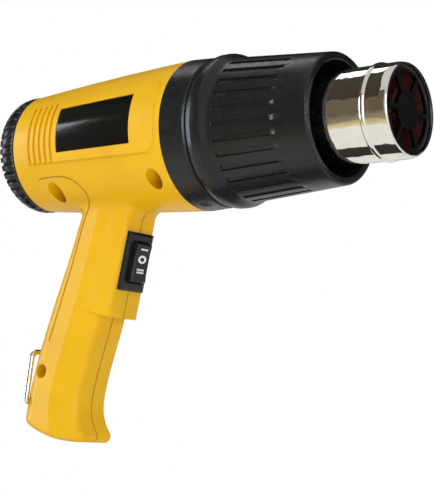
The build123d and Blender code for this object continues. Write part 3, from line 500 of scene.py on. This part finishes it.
def cut_round_barrel():
    """Tree that cuts a cutter's copies out of a piece, evenly round the barrel axis."""
    t = Tree("cut_round_barrel", {
        "Geometry": "Geometry", "Cutter": "Object", "Count": "Int", "Material": "Material"})
    cutter = t.add("GeometryNodeObjectInfo", {"Object": t.given["Cutter"]})
    cutters = t.ring(cutter.outputs["Geometry"])
    cut = t.add("GeometryNodeMeshBoolean", {"Mesh 1": t.given["Geometry"], "Mesh 2": cutters})
    t.end(cut.outputs[0])
    return t


def set_screws():
    """Tree that sets a screw on every point, turned by the point's own angles."""
    t = Tree("set_screws", {"Geometry": "Geometry", "Screw": "Object", "Material": "Material"})
    screw = t.add("GeometryNodeObjectInfo", {"Object": t.given["Screw"]})
    turn = t.add("GeometryNodeInputNamedAttribute", {"Name": "turn"}, data_type="FLOAT_VECTOR")
    copies = t.add("GeometryNodeInstanceOnPoints", {
        "Points": t.given["Geometry"], "Instance": screw.outputs["Geometry"],
        "Rotation": turn.outputs["Attribute"]})
    t.end(copies.outputs[0])
    return t


def wind_coil():
    """Tree that winds a wire into a helix along the barrel axis."""
    t = Tree("wind_coil", {
        "Geometry": "Geometry", "Turns": "Float", "Length": "Float", "Radius": "Float",
        "Wire Radius": "Float", "Start": "Float", "Material": "Material"})
    spiral = t.add("GeometryNodeCurveSpiral", {
        "Resolution": 48, "Rotations": t.given["Turns"], "Start Radius": t.given["Radius"],
        "End Radius": t.given["Radius"], "Height": t.given["Length"]})
    wire = t.add("GeometryNodeCurvePrimitiveCircle", {"Resolution": 10, "Radius": t.given["Wire Radius"]})
    tube = t.add("GeometryNodeCurveToMesh", {
        "Curve": spiral.outputs[0], "Profile Curve": wire.outputs[0], "Fill Caps": True})
    shift = t.add("ShaderNodeCombineXYZ", {"X": t.given["Start"]})
    place = t.add("GeometryNodeTransform", {
        "Geometry": tube.outputs[0], "Translation": shift.outputs[0], "Rotation": (0, math.pi / 2, 0)})
    t.end(place.outputs[0])
    return t


def make_rear_cap():
    """Rear cap with open gaps between its teeth, which the solid keeps under a thin skin."""
    cap = bpy.data.objects.new("rear_cap_toothed", nodes["rear_cap"].data.copy())
    bpy.context.scene.collection.objects.link(cap)
    clean(cap.data)
    rear, front = -CAP_GAP_OVERRUN, CAP_SHOULDER[0]
    slope = (CAP_SHOULDER[1] - CAP_REAR_RADIUS) / front
    verts = []
    for x in (rear, front):
        floor = CAP_SHOULDER[1] - (front - x) * slope - CAP_GAP_DEPTH
        for lift, half in CAP_GAP_LEVELS:
            verts += [(x, -half, floor + lift), (x, half, floor + lift)]
    faces = [(0, 1, 3, 2), (4, 6, 7, 5), (0, 4, 5, 1), (1, 5, 7, 3), (3, 7, 6, 2), (2, 6, 4, 0)]
    gap = mesh_object("cap_gap", verts, faces, "black_plastic")
    cut_round_barrel().grow(cap, {
        "Cutter": gap, "Count": CAP_TEETH, "Material": materials["black_plastic"]})
    bpy.data.objects.remove(gap)
    stand_for(cap, "gun", "rear_cap")


def sleeve_profile():
    """Closed outline of the guard sleeve as (x, radius, flute share), outside first."""
    s = SLEEVE
    rim = s["rim"]
    front = s["mouth"] - rim
    slope = (s["foot_radius"] - s["mouth_radius"]) / (front - s["foot"])
    bevel_foot = s["lip_radius"] - s["bevel_fall"]
    points = [(x, radius, 0) for x, radius in arc((s["rear"] + rim, bevel_foot - rim), rim, 180, 106, 6)]
    bevel_end = s["rear"] + s["bevel_run"]
    points += [(bevel_end - 0.3, s["lip_radius"] - 0.1, 0), (bevel_end + 0.2, s["lip_radius"], 0)]
    crown_end = s["lip_end"] - rim
    points.append((crown_end, s["lip_radius"], 0))
    run = s["foot"] - crown_end
    for i in range(1, 13):
        t = i / 12
        fall = 3 * t * t - 2 * t ** 3
        tail = (t * t - t ** 3) * slope * run
        radius = s["lip_radius"] + (s["foot_radius"] - s["lip_radius"]) * fall + tail
        points.append((crown_end + t * run, radius, 0))
    for x, share in (
        (FLUTE_START - 0.15, 0), (FLUTE_START, 0.12), (FLUTE_START + 0.2, 0.92), (FLUTE_START + 0.4, 1),
        (FLUTE_START + 9, 1), (FLUTE_START + 18, 1), (FLUTE_START + 27, 1),
        (FLUTE_END - 3.4, 1), (FLUTE_END - 3.2, 0.97), (FLUTE_END - 0.7, 0.34), (FLUTE_END - 0.5, 0.24),
        (FLUTE_END - 0.2, 0.05), (FLUTE_END, 0),
        (FLUTE_END + 5.5, 0), (FLUTE_END + 11, 0),
    ):
        points.append((x, s["foot_radius"] - (x - s["foot"]) * slope, share))
    points += [(x, radius, 0) for x, radius in arc((front, s["mouth_radius"] - rim), rim, 86, 0, 6)]
    points += [
        (s["mouth"], s["mouth_bore"] + rim / 2, 0),
        (s["mouth"] - rim / 4, s["mouth_bore"] + rim / 8, 0),
        (front, s["mouth_bore"], 0),
        (s["seat_end"], s["seat_bore"], 0),
        (s["rear"], s["seat_bore"], 0),
    ]
    return points


def make_guard_sleeve():
    """Fluted guard sleeve, from one sector repeated round the barrel."""
    half = 180 / FLUTES
    columns = [
        (-half, 0), (-4.2, 0), (-2.55, 0), (-2.36, 0.12), (-2.16, 0.92), (-1.95, 1), (0, 1),
        (1.95, 1), (2.16, 0.92), (2.36, 0.12), (2.55, 0), (4.2, 0), (half, 0),
    ]
    profile = sleeve_profile()
    count = len(profile)
    verts = []
    faces = []
    for turn, across in columns:
        angle = math.radians(turn)
        for x, radius, along in profile:
            low = radius - FLUTE_DEPTH * along * across
            verts.append((x, low * math.sin(angle), low * math.cos(angle)))
    for j in range(len(columns) - 1):
        for i in range(count):
            after = (i + 1) % count
            faces.append((j * count + i, j * count + after, (j + 1) * count + after, (j + 1) * count + i))
    sleeve = mesh_object("guard_sleeve_fluted", verts, faces, "black_plastic")
    repeat_round_barrel().grow(sleeve, {
        "Count": FLUTES, "Weld": 0.01 * MM, "Material": materials["black_plastic"]})
    stand_for(sleeve, "guard", "guard_sleeve")


def make_nozzle_tube():
    """Thin steel tube with its flange, rolled bead and turned-in lip."""
    n = NOZZLE
    radius = n["radius"]
    bore = radius - n["wall"]
    web_rear = COLLAR_FRONT - n["web"]
    flange_rear = web_rear - n["flange"]
    tail = flange_rear - n["tail"]
    bead_end = n["tip"] - n["bead_end"]
    bead_start = bead_end - n["bead_width"]
    shoulder = n["tip"] - n["lip"]
    mouth_bore = radius - n["lip_fall"] - n["wall"]
    profile = [
        (tail, bore), (tail, radius), (flange_rear, radius), (flange_rear, n["flange_radius"]),
        (web_rear, n["flange_radius"]), (web_rear, radius),
    ]
    profile += [(web_rear + (bead_start - web_rear) * i / 6, radius) for i in range(1, 6)]
    profile += flat_arc((bead_start, radius), (bead_end, radius), n["bead_height"], 12)
    for i in range(9):
        turn = math.radians(90 * i / 8)
        fall = n["lip_fall"] * (1 - math.cos(turn))
        profile.append((shoulder + n["lip"] * math.sin(turn), radius - fall))
    profile += [(n["tip"], mouth_bore), (shoulder, bore)]
    profile += flat_arc((bead_start, bore), (bead_end, bore), n["bead_height"], 8)[::-1]
    tube = lathe("nozzle_tube_steel", profile, 144, "steel_chrome")
    stand_for(tube, "gun", "nozzle_tube")


def screw_form(name, head_radius, head_height, shank_radius, length):
    """Pan-head screw along z with a tapering cross recess."""
    reach = head_radius * 0.6
    rings = [(reach * i / 8, head_height) for i in range(1, 9)]
    crown = head_height * 0.55
    for turn in (90, 65, 40, 15):
        edge = math.radians(turn)
        radius = head_radius * (0.7 + 0.3 * math.cos(edge))
        rings.append((radius, head_height - crown + crown * math.sin(edge)))
    rings += [
        (head_radius, 0.0), (shank_radius, 0.0),
        (shank_radius, 1.2 - length), (shank_radius * 0.5, -length),
    ]
    steps = 64
    verts = []
    for radius, z in rings:
        for j in range(steps):
            turn = 2 * math.pi * j / steps
            x, y = radius * math.cos(turn), radius * math.sin(turn)
            in_slot = min(abs(x), abs(y)) < head_radius * 0.11 and radius < reach * 0.99
            depth = head_height * 0.55 * (1 - radius / reach * 0.6) if in_slot else 0
            verts.append((x, y, z - depth))
    top, bottom = len(verts), len(verts) + 1
    verts += [(0, 0, head_height * 0.45), (0, 0, -length)]
    faces = []
    last = (len(rings) - 1) * steps
    for j in range(steps):
        after = (j + 1) % steps
        faces.append((top, j, after))
        faces.append((bottom, last + after, last + j))
        for i in range(len(rings) - 1):
            faces.append((i * steps + j, (i + 1) * steps + j, (i + 1) * steps + after, i * steps + after))
    return mesh_object(name, verts, faces, "zinc_steel")


def make_screws(name, node, form, places, slot, plan):
    """One group of identical screws: each place is a point, the head's direction and its own turn."""
    screw = screw_form(name + "_form", *form)
    mesh = bpy.data.meshes.new(name)
    mesh.from_pydata([Vector(at) * MM for at, out, spin in places], [], [])
    turns = mesh.attributes.new("turn", "FLOAT_VECTOR", "POINT")
    for item, (at, out, spin) in zip(turns.data, places):
        aim = Vector(out).to_track_quat("Z", "Y").to_matrix()
        item.vector = (aim @ Matrix.Rotation(math.radians(spin), 3, "Z")).to_euler()
    group = bpy.data.objects.new(name, mesh)
    bpy.context.scene.collection.objects.link(group)
    plan.grow(group, {"Screw": screw, "Material": materials[slot]})
    bpy.data.objects.remove(screw)
    stand_for(group, "gun", node)


def make_all_screws():
    """Housing, collar, flange and clamp screws."""
    plan = set_screws()
    side = (0, -1, 0)
    housing = [
        ((108.8, -12.0, -26.0), side, 20),
        ((36.9, -6.0, -26.0), side, 65),
        ((24.6, -3.6, -120.5), side, 40),
    ]
    make_screws("housing_screw_set", "housing_screws", HOUSING_SCREW, housing, "zinc_steel", plan)
    collar = []
    for angle, spin in ((-COLLAR_SCREW_TURN, 10), (COLLAR_SCREW_TURN, 50)):
        turn = math.radians(angle)
        out = (0, math.sin(turn), -math.cos(turn))
        at = (COLLAR_SCREW_X, out[1] * COLLAR_SCREW_RING, out[2] * COLLAR_SCREW_RING)
        collar.append((at, out, spin))
    make_screws("collar_screw_set", "collar_screws", COLLAR_SCREW, collar, "black_screw", plan)
    flange = []
    for i in range(FLANGE_SCREW_COUNT):
        turn = math.radians(360 / FLANGE_SCREW_COUNT * i)
        at = (FLANGE_SCREW_X, -FLANGE_SCREW_RING * math.sin(turn), FLANGE_SCREW_RING * math.cos(turn))
        flange.append((at, (-1, 0, 0), 30 * i))
    make_screws("flange_screw_set", "flange_screws", FLANGE_SCREW, flange, "zinc_steel", plan)
    clamp = [
        ((CLAMP_MIDDLE - CLAMP_HALF_SPACING, -2.0, -137.0), side, 15),
        ((CLAMP_MIDDLE + CLAMP_HALF_SPACING, -2.0, -137.0), side, 70),
    ]
    make_screws("clamp_screw_set", "clamp_screws", CLAMP_SCREW, clamp, "zinc_steel", plan)


def make_coil():
    """Resistance wire wound on the former. Its lengths go to the tree in metres."""
    coil = mesh_object("heating_coil_wound", [], [], "resistance_wire")
    wind_coil().grow(coil, {
        "Turns": 12.0, "Length": 0.0768, "Radius": 0.0184, "Wire Radius": 0.00075, "Start": 0.14255,
        "Material": materials["resistance_wire"],
    })
    stand_for(coil, "gun", "heating_coil")


def switch_point(across, along, height):
    """Point on the switch: across along y, along its length upwards, height out of the handle."""
    tilt = math.radians(SWITCH_TILT)
    return (
        SWITCH_AT[0] + math.sin(tilt) * along + math.cos(tilt) * height,
        across,
        SWITCH_AT[2] + math.cos(tilt) * along - math.sin(tilt) * height,
    )


def printed_mark(name, outer, inner):
    """Thin mark on the rocker's dished face, between an outer and an inner closed loop."""
    count = len(outer)
    verts = []
    for lift in MARK_LEVELS:
        for across, along in outer + inner:
            dish = ROCKER_DIP + (ROCKER_RISE - ROCKER_DIP) * (along / ROCKER_HALF_LENGTH) ** 2
            verts.append(switch_point(across, along, dish + lift))
    faces = []
    for i in range(count):
        after = (i + 1) % count
        for a, b in ((0, 1), (1, 3), (3, 2), (2, 0)):
            faces.append((a * count + i, a * count + after, b * count + after, b * count + i))
    mark = mesh_object(name, verts, faces, "mark_white")
    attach(mark, "rocker")


def bar_loop(middle, half_across, half_along, corner):
    """Closed loop of a rounded bar across the switch."""
    loop = []
    for start, sx, sy in ((0, 1, 1), (90, -1, 1), (180, -1, -1), (270, 1, -1)):
        centre = (sx * (half_across - corner), middle + sy * (half_along - corner))
        loop += arc(centre, corner, start, start + 90, 6)
    return loop


def ring_loop(middle, half_across, half_along):
    """Closed oval loop round a point along the switch."""
    turns = [t * math.pi / 24 for t in range(48)]
    return [(half_across * math.cos(t), middle + half_along * math.sin(t)) for t in turns]


def make_marks():
    """Generic marks of the switch: I, O and II."""
    for name, at in (("mark_one", 5.3), ("mark_two_upper", -5.5), ("mark_two_lower", -6.95)):
        printed_mark(name, *(bar_loop(MARKS_MIDDLE + at, *edge) for edge in MARK_BAR_EDGES))
    printed_mark("mark_off", *(ring_loop(MARKS_MIDDLE, *edge) for edge in MARK_RING_EDGES))


def rounded_path(corners, radii, steps):
    """Path through corner points with its corners rounded, in two dimensions."""
    path = []
    for k, (point, radius) in enumerate(zip(corners, radii)):
        here = Vector(point)
        if not radius:
            path.append(here)
            continue
        back = (Vector(corners[k - 1]) - here).normalized()
        on = (Vector(corners[k + 1]) - here).normalized()
        half = back.angle(on) / 2
        centre = here + (back + on).normalized() * radius / math.sin(half)
        first = here + back * radius / math.tan(half) - centre
        last = here + on * radius / math.tan(half) - centre
        sweep = last.angle_signed(first)
        path += [centre + Matrix.Rotation(sweep * i / steps, 2) @ first for i in range(steps + 1)]
    return path


def make_bail():
    """Smooth wire bail with its ends turned into the grip."""
    lean = math.radians(BAIL_LEAN)
    places = [
        Vector((BAIL_PIVOT[0] + h * math.sin(lean), y, BAIL_PIVOT[2] + h * math.cos(lean)))
        for y, h in rounded_path(BAIL_CORNERS, BAIL_BENDS, 10)
    ]
    normal = Vector((math.cos(lean), 0, -math.sin(lean)))
    sides = 20
    section = arc((0, 0), BAIL_WIRE_RADIUS, 0, 360 - 360 / sides, sides - 1)
    verts = []
    for k, at in enumerate(places):
        along = (places[min(k + 1, len(places) - 1)] - places[max(k - 1, 0)]).normalized()
        out = normal.cross(along)
        verts += [at + (a * normal + b * out) for a, b in section]
    last = (len(places) - 1) * sides
    faces = [tuple(range(sides)), tuple(range(last, last + sides))]
    for k in range(len(places) - 1):
        for j in range(sides):
            after = (j + 1) % sides
            faces.append((k * sides + j, k * sides + after, (k + 1) * sides + after, (k + 1) * sides + j))
    bail = mesh_object("hanging_bail_wire", verts, faces, "steel_chrome")
    stand_for(bail, "bail", "hanging_bail")


# Studio

def area_light(name, at, aim, size, power, tint=(1, 1, 1), mirrored=False):
    """Soft rectangular lamp that faces a point, for the matt light or for reflections only."""
    data = bpy.data.lights.new(name, "AREA")
    data.shape = "RECTANGLE"
    data.size, data.size_y = size
    data.energy = power
    data.color = tint
    lamp = bpy.data.objects.new(name, data)
    bpy.context.scene.collection.objects.link(lamp)
    lamp.location = at
    lamp.rotation_euler = (Vector(aim) - Vector(at)).to_track_quat("-Z", "Y").to_euler()
    lamp.visible_camera = False
    lamp.visible_glossy = mirrored
    lamp.visible_diffuse = not mirrored


def make_lights():
    """Soft lamps for the matt light, narrow ones for reflections only, and an even pale world."""
    middle = (0.12, 0, -0.04)
    sleeve_front = (0.17, 0, 0)
    cool = (0.78, 0.9, 1)
    area_light("key_light", (-0.35, -1.2, 1.0), middle, (0.9, 0.7), 7)
    area_light("fill_light", (1.05, -1.25, -0.05), middle, (0.8, 0.8), 6.9)
    area_light("rear_light", (0.2, 1.4, 0.7), middle, (1.4, 0.5), 6)
    area_light("low_light", (0.3, -0.4, -0.31), (0.3, -0.4, 0), (0.4, 0.3), 0.55)
    area_light("side_light", (-1.08, -0.58, 0.15), sleeve_front, (0.45, 0.9), 8, cool, True)
    area_light("edge_light", (1.35, -0.87, 0.2), sleeve_front, (0.15, 1.0), 8, cool, True)
    area_light("streak_light", (-0.84, 0.38, 1.64), (0.22, 0, 0), (0.7, 0.32), 1.5, mirrored=True)
    world = bpy.data.worlds.new("studio_world")
    bpy.context.scene.world = world
    world.use_nodes = True
    tree = world.node_tree
    tree.nodes.clear()
    out = tree.nodes.new("ShaderNodeOutputWorld")
    mix = tree.nodes.new("ShaderNodeMixShader")
    path = tree.nodes.new("ShaderNodeLightPath")
    fill = tree.nodes.new("ShaderNodeBackground")
    seen = tree.nodes.new("ShaderNodeBackground")
    fill.inputs["Color"].default_value = (1, 1, 1, 1)
    fill.inputs["Strength"].default_value = WORLD_FILL
    seen.inputs["Color"].default_value = (1, 1, 1, 1)
    seen.inputs["Strength"].default_value = 1.0
    tree.links.new(path.outputs["Is Camera Ray"], mix.inputs["Fac"])
    tree.links.new(fill.outputs[0], mix.inputs[1])
    tree.links.new(seen.outputs[0], mix.inputs[2])
    tree.links.new(mix.outputs[0], out.inputs["Surface"])


def stage_plane(name, corners, material):
    """Flat piece of the studio."""
    mesh = bpy.data.meshes.new(name)
    mesh.from_pydata(corners, [], [(0, 1, 2, 3)])
    plane = bpy.data.objects.new(name, mesh)
    bpy.context.scene.collection.objects.link(plane)
    mesh.materials.append(material)
    return plane


def dark_card(name, corners, colour, fade=None):
    """Matt card that only reflections see. It may fade along y: (from y, to y, to colour)."""
    m = Material(name)
    m.set(Base_Color=(*colour, 1), Roughness=1.0)
    if fade:
        start, end, last = fade
        share = m.math("DIVIDE", m.math("SUBTRACT", m.axes()["Y"], start), end - start, True)
        m.set(Base_Color=m.ramp(share, [(0.0, colour), (1.0, last)]))
    card = stage_plane(name, corners, m.data)
    card.visible_camera = False
    card.visible_diffuse = False
    card.visible_shadow = False


def make_cards():
    """Dark cards round the tool, for contrast in the steel and on the black plastic."""
    x, y, z = -1.6, -3.4, -0.325
    foot = -0.32
    dark_card(
        "brown_card", [(x, y, foot), (x, 0.6, foot), (x, 0.6, 1.5), (x, y, 1.5)],
        (0.22, 0.18, 0.11))
    dark_card(
        "dark_card_high", [(x, y, 1.5), (x, 0.9, 1.5), (x, 0.9, 3.6), (x, y, 3.6)],
        (0.07, 0.055, 0.035))
    dark_card(
        "dark_card_back", [(-4, 0.9, 2.2), (3, 0.9, 2.2), (3, 2.6, 0.2), (-4, 2.6, 0.2)],
        (0.03, 0.025, 0.02))
    dark_card(
        "brown_card_front", [(x, y, foot), (0.45, y, foot), (0.45, y, 2.6), (x, y, 2.6)],
        (0.20, 0.165, 0.10))
    dark_card(
        "brown_card_low", [(-3, y, z), (0.5, y, z), (0.5, -0.40, z), (-3, -0.40, z)],
        (0.26, 0.21, 0.13), (-0.8, -0.42, (0.85, 0.72, 0.42)))
    dark_card(
        "dark_card_low", [(-0.4, 0.0, z), (0.3, 0.0, z), (0.3, 0.22, z), (-0.4, 0.22, z)],
        (0.03, 0.025, 0.02))


def make_floor():
    """Pale floor that keeps the object's shadow near it and fades to white further out."""
    half = FLOOR_SIZE / 2
    z = FLOOR_Z * MM
    m = Material("studio_floor")
    m.set(Base_Color=(0.92, 0.92, 0.92, 1), Roughness=0.9)
    white = m.add("ShaderNodeEmission")
    axes = m.axes()
    x2 = m.math("MULTIPLY", axes["X"], axes["X"])
    y2 = m.math("MULTIPLY", axes["Y"], axes["Y"])
    away = m.math("SQRT", m.math("ADD", x2, y2))
    beyond = m.math("SUBTRACT", away, FLOOR_CLEAR_RADIUS / 2)
    far = m.math("MULTIPLY", beyond, 2 / FLOOR_CLEAR_RADIUS, True)
    path = m.add("ShaderNodeLightPath")
    shown = m.math("MULTIPLY", far, path.outputs["Is Camera Ray"])
    mix = m.add("ShaderNodeMixShader")
    m.put(shown, mix.inputs["Fac"])
    m.put(m.shader.outputs[0], mix.inputs[1])
    m.put(white.outputs[0], mix.inputs[2])
    m.put(mix.outputs[0], m.tree.nodes["Material Output"].inputs["Surface"])
    corners = [(-half, -half, z), (half, -half, z), (half, half, z), (-half, half, z)]
    stage_plane("studio_floor", corners, m.data)


bpy.context.scene.view_settings.view_transform = "Standard"
make_camera()
make_lights()
make_floor()
make_cards()
materials = make_materials()
dress_cad_nodes()
make_rear_cap()
make_guard_sleeve()
make_nozzle_tube()
make_all_screws()
make_coil()
make_marks()
make_bail()
